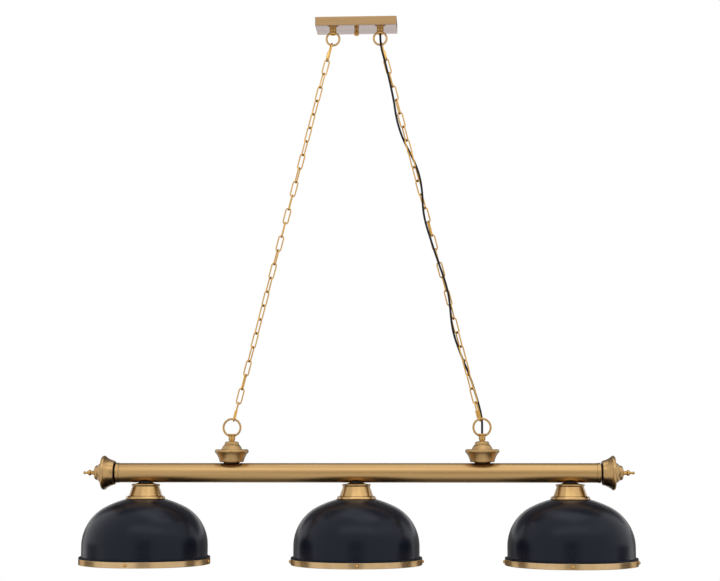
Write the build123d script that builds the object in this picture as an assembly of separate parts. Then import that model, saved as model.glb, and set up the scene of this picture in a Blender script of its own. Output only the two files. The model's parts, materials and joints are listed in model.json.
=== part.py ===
from build123d import *
import math
import os

# Three-shade billiard light, hung from a rectangular canopy by two chains that spread down to a long tube.
# Millimetres. The ceiling is z = 0, +Z is up, the tube runs along X and the viewer stands at -Y.

# Fits shared by every piece
thread_gap = 0.1
hang_gap = 0.4
slip = 0.15

# Pipe nipples and their hexagon nuts
nipple_r = 4.8
cord_r = 2.9
wireway_play = 0.8
nut_flats = 15.0
nut_height = 4.0

# Canopy, its ceiling crossbar and the knob that draws it up
canopy_length = 219.0
canopy_width = 88.0
canopy_height = 24.0
canopy_wall = 1.2
canopy_corner = 3.0
crossbar_length = 115.0
crossbar_width = 22.0
crossbar_thick = 2.5
box_screw_spacing = 88.9
box_screw_r = 2.4
ground_screw_x = 26.0
ground_screw_r = 2.0
ground_head_r = 4.0
ground_head = 2.4
stiffener_length = 170.0
stiffener_width = 30.0
stiffener_thick = 3.0
stud_r = 3.0
knob_r = 6.5
knob_height = 15.7
knob_groove = 0.9
knob_floor = 3.5
knurl_count = 18
connector_r = 5.5
connector_tip_r = 3.4
connector_length = 20.0
connector_x = 34.0

# Cast loops: a wire ring fused to a neck
loop_wire = 5.0
top_loop_x = 64.1
top_ring_od = 40.0
top_ring_drop = 25.4
top_neck_r = 8.8
top_neck_height = 13.4
bottom_loop_x = 329.4
bottom_ring_od = 50.0
bottom_ring_rise = 36.5
bottom_neck_r = 8.2
bottom_neck_flare = 1.0
bottom_neck_height = 20.0
bottom_mouth = 6.0
bottom_mouth_flare = 1.2
neck_thread = 8.0

# Chains: quick links at both ends of a run of links, each turned a little over a quarter from the last
link_inner = 38.6
link_width = 16.6
link_wire = 3.4
link_count = 25
link_turn = 96.3
left_first_turn = 28.0
right_first_turn = -3.0
quick_inner = 47.0
quick_width = 17.0
quick_wire = 4.0
sleeve_length = 20.0
sleeve_flats = 7.6
sleeve_shift = 7.0
bend_flats = 6
wire_taper = 30.0

# Tube, its end collars and what is drawn up against its ends
tube_od = 50.8
tube_wall = 1.2
tube_length = 1270.4
collar_wall = 1.3
collar_length = 8.5
plug_thick = 10.0
end_spacer_r = 20.0
end_spacer_thick = 4.2

# Spun cup, used upright under the lower loops and sideways as the end caps
cup_wall = 1.5
cup_boss_r = 9.0
cup_base_r = 29.6
cup_base_round = 1.6
cup_flare_r = 42.6
cup_flare_height = 24.0
cup_flare_bow = 2.3
cup_rim_r = 44.6
cup_rim_height = 9.5
cup_rim_round = 2.4
cup_cone_r = 27.4
cup_cone_height = 11.5
cup_cone_bow = 0.8
cup_step = 1.4
cup_shoulder_r = 20.4
cup_crown_r = 12.0
cup_crown_height = 9.0
saddle_r = 22.0
saddle_depth = 20.0
saddle_rise = 2.5
saddle_skirt = 2.5

# Turned finial
finial_foot_r = 7.2
finial_foot = 1.6
finial_waist_r = 5.2
finial_neck = 8.2
finial_bead_r = 7.6
finial_bead = 7.6
finial_stem_r = 2.5
finial_stem = 5.6
finial_ball_r = 3.9
finial_bore = 8.0

# Shade stem, holder and clamp
shade_inset = 78.6
stem_neck_r = 18.5
stem_neck_drop = 3.1
stem_neck_skirt = 3.0
holder_wall = 1.2
holder_top_r = 37.7
holder_top_lip = 5.8
holder_waist_r = 35.3
holder_foot_r = 44.3
holder_body = 26.0
holder_lip_r = 51.6
holder_lip = 7.6
holder_lip_round = 1.5
clamp_washer_r = 22.0
clamp_washer = 1.5

# Dome shade with a rolled lip, and the band screwed on below the lip
shade_wall = 1.2
shade_top_r = 50.0
shade_knee_r = 100.5
shade_knee_drop = 19.1
shade_r = 164.6
shade_dome_drop = 103.0
shade_skirt = 27.5
shade_lip_reach = 6.9
shade_lip = 4.0
band_height = 15.5
band_wall = 1.4
band_screws = 4
screw_r = 2.0
screw_head_r = 4.4
screw_head = 4.6
screw_end = 3.0
band_turns = {"left": -5.5, "centre": 3.5, "right": -4.0}

# Lampholder for an E26 lamp
holder_cap_r = 12.0
holder_cap = 9.0
lampholder_r = 19.0
lampholder_body = 44.0
shell_bore_r = 13.3
shell_wall = 0.7
shell_length = 26.0
shell_recess = 1.0

# Cord down the right chain: one knot per link, each so far across the chain and so far back from it
cord_sides = 8
cord_corner = 0.45
cord_entry = 30.0
cord_head_exit = 6.6
cord_foot_exit = 2.8
cord_lead = 1.35
cord_route = [
    (-4.5, -19.0), (-4.0, -20.0), (-4.5, -15.0), (-5.5, -11.0), (-7.5, -8.0), (-12.0, -5.0), (-12.0, 0.0),
    (-7.0, 6.5), (2.5, 8.0), (8.0, -1.5), (8.0, -9.5), (2.5, -12.0), (-6.0, -10.5), (-8.0, -9.0),
    (-6.0, -8.5), (-4.0, -11.0), (-1.0, -12.0), (2.5, -11.5), (3.5, -11.0), (-1.0, -10.5), (-8.0, -9.5),
    (-10.5, -6.0), (-7.0, 2.0), (-2.0, 10.5), (4.0, 13.5), (6.0, 14.5), (7.5, 15.5), (6.5, 12.0),
]
cord_names = ("canopy_end", "top_link", "run", "bottom_link", "bar_end")

# Heights and places that follow from the sizes above
plate_z = -canopy_height
deck_z = plate_z + canopy_wall
wireway_r = cord_r + wireway_play
nut_r = nut_flats / math.sqrt(3)
top_ring_z = plate_z - top_ring_drop
top_ring_r = (top_ring_od - loop_wire) / 2
bottom_ring_r = (bottom_ring_od - loop_wire) / 2
chain_reach = 2 * quick_inner + link_count * link_inner - (link_count + 3) * hang_gap - loop_wire
ring_span = top_ring_r + chain_reach + bottom_ring_r
chain_angle = math.asin((bottom_loop_x - top_loop_x) / ring_span)
bottom_ring_z = top_ring_z - ring_span * math.cos(chain_angle)
cup_height = cup_flare_height + cup_rim_height + cup_cone_height + cup_crown_height
cup_top_z = bottom_ring_z - bottom_ring_rise
cup_base_z = cup_top_z - cup_height
tube_r = tube_od / 2
tube_bore_r = tube_r - tube_wall
bar_z = cup_base_z - saddle_rise - tube_r
nut_seat = math.sqrt(tube_bore_r**2 - nut_r**2) - thread_gap
holder_z = bar_z - tube_r - stem_neck_drop
shade_z = holder_z - holder_top_lip - holder_body - holder_lip
skirt_z = shade_z - shade_knee_drop - shade_dome_drop
lip_z = skirt_z - shade_skirt
band_z = lip_z - shade_lip
lip_r = shade_r + shade_lip_reach
clamp_z = shade_z - shade_wall
lamp_z = clamp_z - clamp_washer - nut_height
lamp_foot_z = lamp_z - holder_cap - lampholder_body
end_x = tube_length / 2
cap_x = end_x + end_spacer_thick
shade_x = end_x - shade_inset
sides = {"left": -1, "right": 1}
shade_places = {"left": -shade_x, "centre": 0.0, "right": shade_x}
cord_cuts = (0, 2, 4, len(cord_route) - 2, len(cord_route), len(cord_route) + 2)

os.makedirs("parts", exist_ok=True)


def save(name, *solids):
    """Writes one node, of one solid or of several alike."""
    export_step(solids[0] if len(solids) == 1 else Compound(children=list(solids)), f"parts/{name}.step")


def turned(*outline):
    """Turns an (r, z) outline, of points and curves in order, about the Z axis."""
    return revolve(Plane.XZ * make_face(list(outline)), Axis.Z)


def turned_points(*points):
    """Turns an (r, z) polygon about the Z axis."""
    return turned(Polyline(*points, close=True))


def rod(r, low, high):
    """A round bar about Z between two heights."""
    return Pos(0, 0, (low + high) / 2) * Cylinder(r, high - low)


def pipe(r, bore, low, high):
    """A tube about Z between two heights."""
    return rod(r, low, high) - rod(bore, low, high)


def hex_nut(flats, bore, low, high):
    """A hexagon nut about Z."""
    blank = extrude(RegularPolygon(flats / 2, 6, major_radius=False), high - low)
    return Pos(0, 0, low) * blank - rod(bore, low, high)


# Canopy: a folded rectangular box, open to the ceiling, with a crossbar inside it and a knob below
canopy = Pos(0, 0, -canopy_height / 2) * Box(canopy_length, canopy_width, canopy_height)
canopy = fillet(canopy.edges().filter_by(Axis.Z), canopy_corner)
hollow = Pos(0, 0, canopy_wall - canopy_height / 2) * Box(
    canopy_length - 2 * canopy_wall, canopy_width - 2 * canopy_wall, canopy_height
)
canopy -= fillet(hollow.edges().filter_by(Axis.Z), max(canopy_corner - canopy_wall, 0.5))
canopy -= rod(stud_r + thread_gap, plate_z, deck_z)
for side in sides.values():
    canopy -= Pos(side * top_loop_x, 0, 0) * rod(nipple_r + thread_gap, plate_z, deck_z)
save("canopy_cover", canopy)

crossbar = Pos(0, 0, -crossbar_thick / 2) * Box(crossbar_length, crossbar_width, crossbar_thick)
crossbar = fillet(crossbar.edges().filter_by(Axis.Z), crossbar_width / 4)
crossbar -= rod(stud_r + thread_gap, -crossbar_thick, 0)
for side in sides.values():
    crossbar -= Pos(side * box_screw_spacing / 2, 0, 0) * rod(box_screw_r, -crossbar_thick, 0)
crossbar -= Pos(ground_screw_x, 0, 0) * rod(ground_screw_r + thread_gap, -crossbar_thick, 0)
save("ceiling_crossbar", crossbar)

ground = rod(ground_screw_r, -crossbar_thick, 0) + rod(ground_head_r, -crossbar_thick - ground_head, -crossbar_thick)
ground -= Pos(0, 0, -crossbar_thick - ground_head) * Box(2 * ground_head_r, ground_head_r / 4, ground_head)
save("ground_screw", Pos(ground_screw_x, 0, 0) * ground)

stiffener = Pos(0, 0, deck_z + stiffener_thick / 2) * Box(stiffener_length, stiffener_width, stiffener_thick)
stiffener -= rod(stud_r + thread_gap, deck_z, deck_z + stiffener_thick)
for side in sides.values():
    hole = rod(nipple_r + thread_gap, deck_z, deck_z + stiffener_thick)
    stiffener -= Pos(side * top_loop_x, 0, 0) * hole
save("canopy_stiffener", stiffener)

knob_foot_z = plate_z - knob_height
save("canopy_stud", rod(stud_r, knob_foot_z + knob_floor, 0))
knob = turned_points(
    (0, plate_z),
    (knob_r - knob_groove, plate_z),
    (knob_r - knob_groove, plate_z - knob_height / 4),
    (knob_r, plate_z - knob_height / 4 - knob_groove),
    (knob_r, knob_foot_z + knob_groove),
    (knob_r - knob_groove, knob_foot_z),
    (0, knob_foot_z),
)
knob -= rod(stud_r + thread_gap, knob_foot_z + knob_floor, plate_z)
for step in range(knurl_count):
    groove = Pos(knob_r, 0, (plate_z + knob_foot_z) / 2) * Rot(0, 0, 45) * Box(knob_groove, knob_groove, knob_height)
    knob -= Rot(0, 0, step * 360 / knurl_count) * groove
save("canopy_knob", knob)

# Wire connectors lie on the canopy's deck beside the stiffener
connector = Rot(0, 90, 0) * Cone(connector_r, connector_tip_r, connector_length)
connector_y = (stiffener_width / 2 + canopy_width / 2 - canopy_wall) / 2
connectors = [
    Pos(side * connector_x + step * connector_length, connector_y, deck_z + connector_r) * connector
    for side, step in ((-1, 0), (1, -1), (1, 1))
]
save("wire_connectors", *connectors)


# Loops: the neck is bored for the nipple on one side and for the cord right through
def loop(ring_r, ring_z, neck, thread_low, thread_high, way_low, way_high):
    """A wire ring facing the viewer, fused to its turned neck."""
    ring = Pos(0, 0, ring_z) * Rot(90, 0, 0) * Torus(ring_r, loop_wire / 2)
    cast = neck + (ring - rod(wireway_r, way_low, way_high))
    cast -= rod(nipple_r + thread_gap, thread_low, thread_high)
    return cast - rod(wireway_r, way_low, way_high)


top_neck_z = plate_z - top_neck_height
top_neck = turned_points(
    (0, plate_z),
    (top_neck_r, plate_z),
    (top_neck_r, top_neck_z + loop_wire / 2),
    (top_neck_r - loop_wire / 4, top_neck_z),
    (0, top_neck_z),
)
top_loop = loop(top_ring_r, top_ring_z, top_neck, plate_z - neck_thread, plate_z, top_ring_z, plate_z)
bottom_neck_z = cup_top_z + bottom_neck_height
bottom_neck = turned_points(
    (0, cup_top_z),
    (bottom_neck_r - bottom_neck_flare, cup_top_z),
    (bottom_neck_r, cup_top_z + bottom_neck_height / 4),
    (bottom_neck_r, bottom_neck_z - loop_wire),
    (bottom_neck_r + bottom_neck_flare, bottom_neck_z - loop_wire / 2),
    (bottom_neck_r, bottom_neck_z),
    (0, bottom_neck_z),
)
bottom_loop = loop(
    bottom_ring_r, bottom_ring_z, bottom_neck, cup_top_z, cup_top_z + neck_thread, cup_top_z, bottom_ring_z
)
mouth = Cone(wireway_r, wireway_r + bottom_mouth_flare, bottom_mouth)
bottom_loop -= Pos(0, 0, bottom_neck_z - bottom_mouth / 2) * mouth
for name, side in sides.items():
    save(f"top_loop_{name}", Pos(side * top_loop_x, 0, 0) * top_loop)
    save(f"bottom_loop_{name}", Pos(side * bottom_loop_x, 0, 0) * bottom_loop)

nut_low = deck_z + stiffener_thick
top_nipple = pipe(nipple_r, wireway_r, plate_z - neck_thread, nut_low + nut_height)
save("canopy_nipples", *[Pos(side * top_loop_x, 0, 0) * top_nipple for side in sides.values()])
top_nut = hex_nut(nut_flats, nipple_r + thread_gap, nut_low, nut_low + nut_height)
save("canopy_nuts", *[Pos(side * top_loop_x, 0, 0) * top_nut for side in sides.values()])


# Chains: each link is a stadium ring with a six-sided wire, laid along the line between the two ring centres
def stadium(inner, width, wire):
    """A welded link in the XZ plane, long side along Z."""
    bend = (width - wire) / 2
    rise = (inner + wire) / 2 - bend
    steps = [math.pi * step / bend_flats for step in range(bend_flats + 1)]

    def outline(r):
        """The polygon at a distance from the two bend centres."""
        arc = [(r * math.cos(turn), rise + r * math.sin(turn)) for turn in steps]
        return Polyline(*arc, *[(-x, -z) for x, z in arc], close=True)

    flat = make_face(outline(bend + wire / 2)) - make_face(outline(bend - wire / 2))
    return extrude(Plane.XZ * flat, wire / 2, both=True, taper=wire_taper)


def on_chain(side, reach):
    """The place on a chain at a distance below the top ring's wire, with Z along the chain."""
    along = top_ring_r + reach
    x = side * (top_loop_x + along * math.sin(chain_angle))
    z = top_ring_z - along * math.cos(chain_angle)
    return Pos(x, 0, z) * Rot(0, -side * math.degrees(chain_angle), 0)


link = stadium(link_inner, link_width, link_wire)
quick_link = stadium(quick_inner, quick_width, quick_wire)
wire_corner = quick_wire / 2 * math.hypot(1, 1 - math.tan(math.radians(wire_taper)))
sleeve = hex_nut(sleeve_flats, wire_corner + thread_gap, -sleeve_length / 2, sleeve_length / 2)
sleeve_x = (quick_width - quick_wire) / 2
top_quick = quick_inner / 2 - loop_wire / 2 - hang_gap
first_link = top_quick + quick_inner / 2 - hang_gap + link_inner / 2
pitch = link_inner - hang_gap
bottom_quick = first_link + link_count * pitch - link_inner / 2 + quick_inner / 2
for name, first_turn in (("left", left_first_turn), ("right", right_first_turn)):
    side = sides[name]
    top_seat = on_chain(side, top_quick) * Rot(0, 0, first_turn - link_turn)
    bottom_seat = on_chain(side, bottom_quick) * Rot(0, 0, first_turn + link_count * link_turn)
    save(f"quick_link_top_{name}", top_seat * quick_link)
    save(f"quick_link_bottom_{name}", bottom_seat * quick_link)
    save(f"link_sleeve_top_{name}", top_seat * Pos(-sleeve_x, 0, -sleeve_shift) * sleeve)
    save(f"link_sleeve_bottom_{name}", bottom_seat * Pos(sleeve_x, 0, -sleeve_shift) * sleeve)
    seats = [on_chain(side, first_link + n * pitch) * Rot(0, 0, first_turn + n * link_turn) for n in range(link_count)]
    save(f"chain_{name}", *[seat * link for seat in seats])

# Cord: straight runs rounded by tangent arcs, cut at the middle of a run where one length meets the next
head_z = top_neck_z - cord_head_exit
foot_z = bottom_neck_z + cord_foot_exit
knots = [Vector(top_loop_x, 0, head_z + cord_entry), Vector(top_loop_x, 0, head_z)]
for n, (across, back) in enumerate(cord_route):
    knots.append((on_chain(1, first_link + (n - cord_lead) * pitch) * Pos(across, back, 0)).position)
knots += [Vector(bottom_loop_x, 0, foot_z), Vector(bottom_loop_x, 0, foot_z - cord_entry)]
bends = []
for before, knot, after in zip(knots, knots[1:], knots[2:]):
    half_turn = math.radians((knot - before).get_angle(after - knot)) / 2
    bends.append(cord_corner * min((knot - before).length, (after - knot).length) / math.tan(half_turn))
cut_ends = [knots[0], *[(knots[cut] + knots[cut + 1]) / 2 for cut in cord_cuts[1:-1]], knots[-1]]
for index, name in enumerate(cord_names):
    first, last = cord_cuts[index], cord_cuts[index + 1]
    path = FilletPolyline(cut_ends[index], *knots[first + 1 : last + 1], cut_ends[index + 1], radius=bends[first:last])
    section = Plane(path @ 0, z_dir=path % 0) * RegularPolygon(cord_r, cord_sides)
    cord = sweep(section, path)
    save(f"cord_{name}", cord)
    print(f"cord_{name}: length {path.length:.1f}, least bend {min(bends[first:last]):.0f}", end=", ")
    print(f"volume over section by length {cord.volume / (section.area * path.length):.4f}")

# Tube, collars, plugs and studs
tube = Rot(0, 90, 0) * pipe(tube_r, tube_bore_r, -end_x, end_x)
tube = Pos(0, 0, bar_z) * tube
for side in sides.values():
    tube -= Pos(side * bottom_loop_x, 0, bar_z) * rod(nipple_r + thread_gap, 0, tube_od)
for x in shade_places.values():
    tube -= Pos(x, 0, bar_z) * rod(nipple_r + thread_gap, -tube_od, 0)
save("bar_tube", tube)


def on_end(side, shape):
    """Turns a shape made along +Z so that it points out of one end of the tube."""
    return Pos(0, 0, bar_z) * Rot(0, side * 90, 0) * shape


collar = pipe(tube_r + collar_wall, tube_r + slip, end_x - collar_length, end_x)
plug = pipe(tube_bore_r - slip, stud_r + thread_gap, end_x - plug_thick, end_x)
spacer = pipe(end_spacer_r, stud_r + thread_gap, end_x, cap_x)
stud = rod(stud_r, end_x - plug_thick, cap_x + cup_height + finial_bore)
save("end_collars", *[on_end(side, collar) for side in sides.values()])
save("end_plugs", *[on_end(side, plug) for side in sides.values()])
save("end_spacers", *[on_end(side, spacer) for side in sides.values()])
save("end_studs", *[on_end(side, stud) for side in sides.values()])


# Cups: a flared skirt, a rounded rim, a swelling cone and a small stepped crown, hollow around a central boss
def bowed(start, end, bow):
    """An arc between two outline points, bent by a sag to the left of its direction."""
    across = Vector(*end) - Vector(*start)
    middle = (Vector(*start) + Vector(*end)) / 2
    return ThreePointArc(start, middle + Vector(-across.Y, across.X).normalized() * bow, end)


def cup(bore):
    """The spun cup, standing on z = 0, with a hole for its rod."""
    rim_low = cup_flare_height
    rim_high = rim_low + cup_rim_height
    shoulder = rim_high + cup_cone_height
    top = shoulder + cup_crown_height
    foot = (cup_base_r + cup_base_round, cup_base_round)
    flare = (cup_flare_r, rim_low)
    rim_edge = (cup_rim_r, rim_low + cup_rim_round)
    rim_top = (cup_rim_r - cup_rim_round, rim_high)
    step = (cup_shoulder_r - cup_step, shoulder)
    shell = turned(
        Line((0, 0), (cup_base_r, 0)),
        Line((cup_base_r, 0), foot),
        bowed(foot, flare, cup_flare_bow),
        Line(flare, rim_edge),
        bowed(rim_edge, rim_top, -cup_rim_round / 2),
        Line(rim_top, (cup_cone_r, rim_high)),
        bowed((cup_cone_r, rim_high), (cup_shoulder_r, shoulder), -cup_cone_bow),
        Line((cup_shoulder_r, shoulder), step),
        bowed(step, (cup_crown_r, top), -cup_step),
        Line((cup_crown_r, top), (0, top)),
        Line((0, top), (0, 0)),
    )
    recess = turned_points(
        (cup_boss_r, 0),
        (cup_base_r - cup_wall, 0),
        (cup_base_r - cup_wall, rim_low / 2),
        (cup_flare_r - 2 * cup_wall, rim_low + cup_wall),
        (cup_flare_r - 2 * cup_wall, rim_high - cup_wall),
        (cup_cone_r - 2 * cup_wall, rim_high - cup_wall),
        (cup_shoulder_r - 2 * cup_wall, shoulder - cup_wall),
        (cup_boss_r, shoulder - cup_wall),
    )
    return shell - recess - rod(bore, 0, top)


hanger_cup = cup(nipple_r + thread_gap)
end_cap = cup(stud_r + thread_gap)
for name, side in sides.items():
    save(f"hanger_cup_{name}", Pos(side * bottom_loop_x, 0, cup_base_z) * hanger_cup)
    save(f"end_cap_{name}", on_end(side, Pos(0, 0, cap_x) * end_cap))

# Saddles fill the wedge between the flat cup and the round tube, and nipples hold the stack together
tube_clear = Pos(0, 0, bar_z) * Rot(0, 90, 0) * rod(tube_r, -end_x, end_x)
saddles = []
for side in sides.values():
    pad = pipe(saddle_r, nipple_r + thread_gap, cup_base_z - saddle_rise - saddle_skirt, cup_base_z)
    pad &= Pos(0, 0, cup_base_z) * Box(2 * saddle_r, saddle_depth, 2 * (saddle_rise + saddle_skirt))
    saddles.append(Pos(side * bottom_loop_x, 0, 0) * pad - tube_clear)
save("saddle_spacers", *saddles)
hanger_nut_z = bar_z + nut_seat
hanger_nipple = pipe(nipple_r, wireway_r, hanger_nut_z - nut_height, cup_top_z + neck_thread)
hanger_nut = hex_nut(nut_flats, nipple_r + thread_gap, hanger_nut_z - nut_height, hanger_nut_z)
save("hanger_nipples", *[Pos(side * bottom_loop_x, 0, 0) * hanger_nipple for side in sides.values()])
save("hanger_nuts", *[Pos(side * bottom_loop_x, 0, 0) * hanger_nut for side in sides.values()])

# Finials: foot, neck, bead, stem and ball in one turning
bead_low = finial_foot + finial_neck
bead_high = bead_low + finial_bead
ball_low = bead_high + finial_stem
ball_seat = ball_low + finial_ball_r - math.sqrt(finial_ball_r**2 - finial_stem_r**2)
finial = turned(
    Line((0, 0), (finial_foot_r, 0)),
    Line((finial_foot_r, 0), (finial_foot_r, finial_foot)),
    Line((finial_foot_r, finial_foot), (finial_waist_r, bead_low)),
    ThreePointArc((finial_waist_r, bead_low), (finial_bead_r, bead_low + finial_bead / 2), (finial_waist_r, bead_high)),
    Line((finial_waist_r, bead_high), (finial_stem_r, ball_seat)),
    ThreePointArc(
        (finial_stem_r, ball_seat), (finial_ball_r, ball_low + finial_ball_r), (0, ball_low + 2 * finial_ball_r)
    ),
    Line((0, ball_low + 2 * finial_ball_r), (0, 0)),
)
finial -= rod(stud_r + thread_gap, 0, finial_bore)
for name, side in sides.items():
    save(f"finial_{name}", on_end(side, Pos(0, 0, cap_x + cup_height) * finial))

# Shade stems: a black saddle neck under the tube and a nipple clamped by nuts at both ends
stem_neck = pipe(stem_neck_r, nipple_r + thread_gap, holder_z, bar_z - tube_r + stem_neck_skirt)
stem_nipple = pipe(nipple_r, wireway_r, lamp_z - holder_cap / 2, bar_z - nut_seat + nut_height)
tube_nut = hex_nut(nut_flats, nipple_r + thread_gap, bar_z - nut_seat, bar_z - nut_seat + nut_height)
lamp_nut = hex_nut(nut_flats, nipple_r + thread_gap, lamp_z, lamp_z + nut_height)
washer = pipe(clamp_washer_r, nipple_r + thread_gap, clamp_z - clamp_washer, clamp_z)
places = shade_places.values()
save("stem_necks", *[Pos(x, 0, 0) * stem_neck - tube_clear for x in places])
save("stem_nipples", *[Pos(x, 0, 0) * stem_nipple for x in places])
save("stem_nuts", *[Pos(x, 0, 0) * nut for x in places for nut in (tube_nut, lamp_nut)])
save("clamp_washers", *[Pos(x, 0, 0) * washer for x in places])

# Shade holder: a lipped conical gallery that stands on the shade's flat crown
waist_z = holder_z - holder_top_lip
flare_z = waist_z - holder_body
holder = turned_points(
    (0, holder_z),
    (holder_top_r - holder_lip_round, holder_z),
    (holder_top_r, holder_z - holder_lip_round),
    (holder_top_r, waist_z + holder_lip_round),
    (holder_waist_r, waist_z),
    (holder_foot_r, flare_z),
    (holder_lip_r - holder_lip_round, flare_z),
    (holder_lip_r, flare_z - holder_lip_round),
    (holder_lip_r, shade_z),
    (0, shade_z),
)
holder -= turned_points(
    (0, holder_z - holder_wall),
    (holder_waist_r - holder_wall, holder_z - holder_wall),
    (holder_waist_r - holder_wall, waist_z),
    (holder_foot_r - holder_wall, flare_z),
    (holder_foot_r - holder_wall, shade_z),
    (0, shade_z),
)
holder -= rod(nipple_r + thread_gap, holder_z - holder_wall, holder_z)


# Shade: two tangent arcs run from the flat crown into an upright skirt, with a rolled lip round it
def bell(inset):
    """The filled dome, set in by a wall on every side."""
    skirt = (shade_r - inset, skirt_z)
    knee = (shade_knee_r - inset / 2, shade_z - shade_knee_drop - inset)
    crown = (shade_top_r, shade_z - inset)
    foot = band_z - band_height + shade_wall
    dome = TangentArc(skirt, knee, tangent=(0, 1))
    cone = TangentArc(knee, crown, tangent=dome % 1)
    return turned(
        Line((0, foot), (shade_r - inset, foot)),
        Line((shade_r - inset, foot), skirt),
        dome,
        cone,
        Line(crown, (0, shade_z - inset)),
        Line((0, shade_z - inset), (0, foot)),
    )


lip = pipe(lip_r, shade_r - shade_wall / 2, band_z, lip_z)
lip = fillet(lip.edges().filter_by(GeomType.CIRCLE).group_by(SortBy.RADIUS)[-1], shade_lip / 3)
shade = bell(0) - bell(shade_wall) + lip
shade -= rod(nipple_r + thread_gap, clamp_z, shade_z)

# Band: an angle ring under the lip, held by ball-headed screws that run into the skirt
band_mid = band_z - band_height / 2
band = turned_points(
    (shade_r + slip, band_z),
    (lip_r, band_z),
    (lip_r, band_z - band_height),
    (lip_r - band_wall, band_z - band_height),
    (lip_r - band_wall, band_z - band_wall),
    (shade_r + slip, band_z - band_wall),
)
screw_start = shade_r - shade_wall - screw_end
screw_head_edge = (screw_head_r, lip_r + screw_head / 3)
screw = turned(
    Line((0, screw_start), (screw_r, screw_start)),
    Line((screw_r, screw_start), (screw_r, lip_r)),
    Line((screw_r, lip_r), (screw_head_r, lip_r)),
    Line((screw_head_r, lip_r), screw_head_edge),
    TangentArc((0, lip_r + screw_head), screw_head_edge, tangent=(1, 0)),
    Line((0, lip_r + screw_head), (0, screw_start)),
)
screw_hole = rod(screw_r + thread_gap, screw_start, lip_r)
screws = []
for name, x in shade_places.items():
    turns = [band_turns[name] - 90 + step * 360 / band_screws for step in range(band_screws)]
    seats = [Pos(0, 0, band_mid) * Rot(0, 0, turn) * Rot(0, 90, 0) for turn in turns]
    drilled_shade, drilled_band = shade, band
    for seat in seats:
        drilled_shade -= seat * screw_hole
        drilled_band -= seat * screw_hole
        screws.append(Pos(x, 0, 0) * seat * screw)
    save(f"shade_{name}", Pos(x, 0, 0) * drilled_shade)
    save(f"shade_band_{name}", Pos(x, 0, 0) * drilled_band)
    save(f"shade_holder_{name}", Pos(x, 0, 0) * holder)
save("band_screws", *screws)

# Lampholders: a moulded body with a brass screw shell
body_z = lamp_z - holder_cap
lampholder = turned_points(
    (0, lamp_z),
    (holder_cap_r, lamp_z),
    (lampholder_r, body_z),
    (lampholder_r, lamp_foot_z),
    (0, lamp_foot_z),
)
shell_high = lamp_foot_z + shell_recess + shell_length
lampholder -= rod(shell_bore_r + shell_wall + thread_gap, lamp_foot_z, shell_high)
lampholder -= rod(nipple_r + thread_gap, lamp_z - holder_cap / 2, lamp_z)
shell = pipe(shell_bore_r + shell_wall, shell_bore_r, lamp_foot_z + shell_recess, shell_high)
save("screw_shells", *[Pos(x, 0, 0) * shell for x in places])
for name, x in shade_places.items():
    save(f"lampholder_{name}", Pos(x, 0, 0) * lampholder)
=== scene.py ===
import json
import math

import bpy
from mathutils import Matrix, Vector


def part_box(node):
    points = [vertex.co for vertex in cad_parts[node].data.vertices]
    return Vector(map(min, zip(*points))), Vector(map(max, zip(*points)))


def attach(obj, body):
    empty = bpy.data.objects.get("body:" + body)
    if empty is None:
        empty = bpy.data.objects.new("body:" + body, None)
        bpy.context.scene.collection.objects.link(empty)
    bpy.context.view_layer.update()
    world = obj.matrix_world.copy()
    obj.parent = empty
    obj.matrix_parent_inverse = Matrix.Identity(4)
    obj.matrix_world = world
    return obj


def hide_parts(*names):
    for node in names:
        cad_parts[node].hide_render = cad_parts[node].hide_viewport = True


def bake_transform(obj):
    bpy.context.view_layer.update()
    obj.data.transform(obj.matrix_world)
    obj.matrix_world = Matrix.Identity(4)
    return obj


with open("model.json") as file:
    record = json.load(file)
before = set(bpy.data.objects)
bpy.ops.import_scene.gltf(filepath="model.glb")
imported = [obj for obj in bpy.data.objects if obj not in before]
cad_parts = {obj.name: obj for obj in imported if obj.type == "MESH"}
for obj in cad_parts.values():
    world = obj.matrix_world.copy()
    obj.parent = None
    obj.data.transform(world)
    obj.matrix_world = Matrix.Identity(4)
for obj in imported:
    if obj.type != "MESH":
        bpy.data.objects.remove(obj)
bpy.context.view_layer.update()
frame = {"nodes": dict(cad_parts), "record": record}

# Camera: a long lens at about the height of the tube, tilted up to take in the canopy and turned slightly
# to the left, as in the photograph. The picture is 720 by 581 and its middle is the lens's axis.
bpy.ops.object.select_all(action="DESELECT")
bpy.ops.object.camera_add(
    location=(0.2074, -3.8587, -1.1774),
    rotation=(math.radians(96.51), 0, math.radians(2.939)),
)
camera = bpy.context.object
camera.data.sensor_width = 36
camera.data.lens = 73.125
bpy.context.scene.camera = camera

# Cord: round black sheathed flex, 5.8 mm across. It comes out of the right canopy loop, is woven down the
# right chain and goes into the right tube loop. Its five lengths meet face to face.
# Places along the chain and its knots are in millimetres.
top_loop_x = 0.0641
bottom_loop_x = 0.3294
top_ring_z = -0.0494
ring_distance = 1.0828
chain_angle = math.asin((bottom_loop_x - top_loop_x) / ring_distance)
first_link = 80.5
link_pitch = 38.2
cord_diameter = 0.0058
cord_head_z = -0.044
cord_entry = 0.030
cord_foot_rise = 0.0228
cord_lead = 1.35
cord_cuts = (2, 4, 26, 28)
cord_weave = [
    (-4.5, -19.0), (-4.0, -20.0), (-4.5, -15.0), (-5.5, -11.0), (-7.5, -8.0), (-12.0, -5.0), (-12.0, 0.0),
    (-7.0, 6.5), (2.5, 8.0), (8.0, -1.5), (8.0, -9.5), (2.5, -12.0), (-6.0, -10.5), (-8.0, -9.0),
    (-6.0, -8.5), (-4.0, -11.0), (-1.0, -12.0), (2.5, -11.5), (3.5, -11.0), (-1.0, -10.5), (-8.0, -9.5),
    (-10.5, -6.0), (-7.0, 2.0), (-2.0, 10.5), (4.0, 13.5), (6.0, 14.5), (7.5, 15.5), (6.5, 12.0),
]


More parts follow.
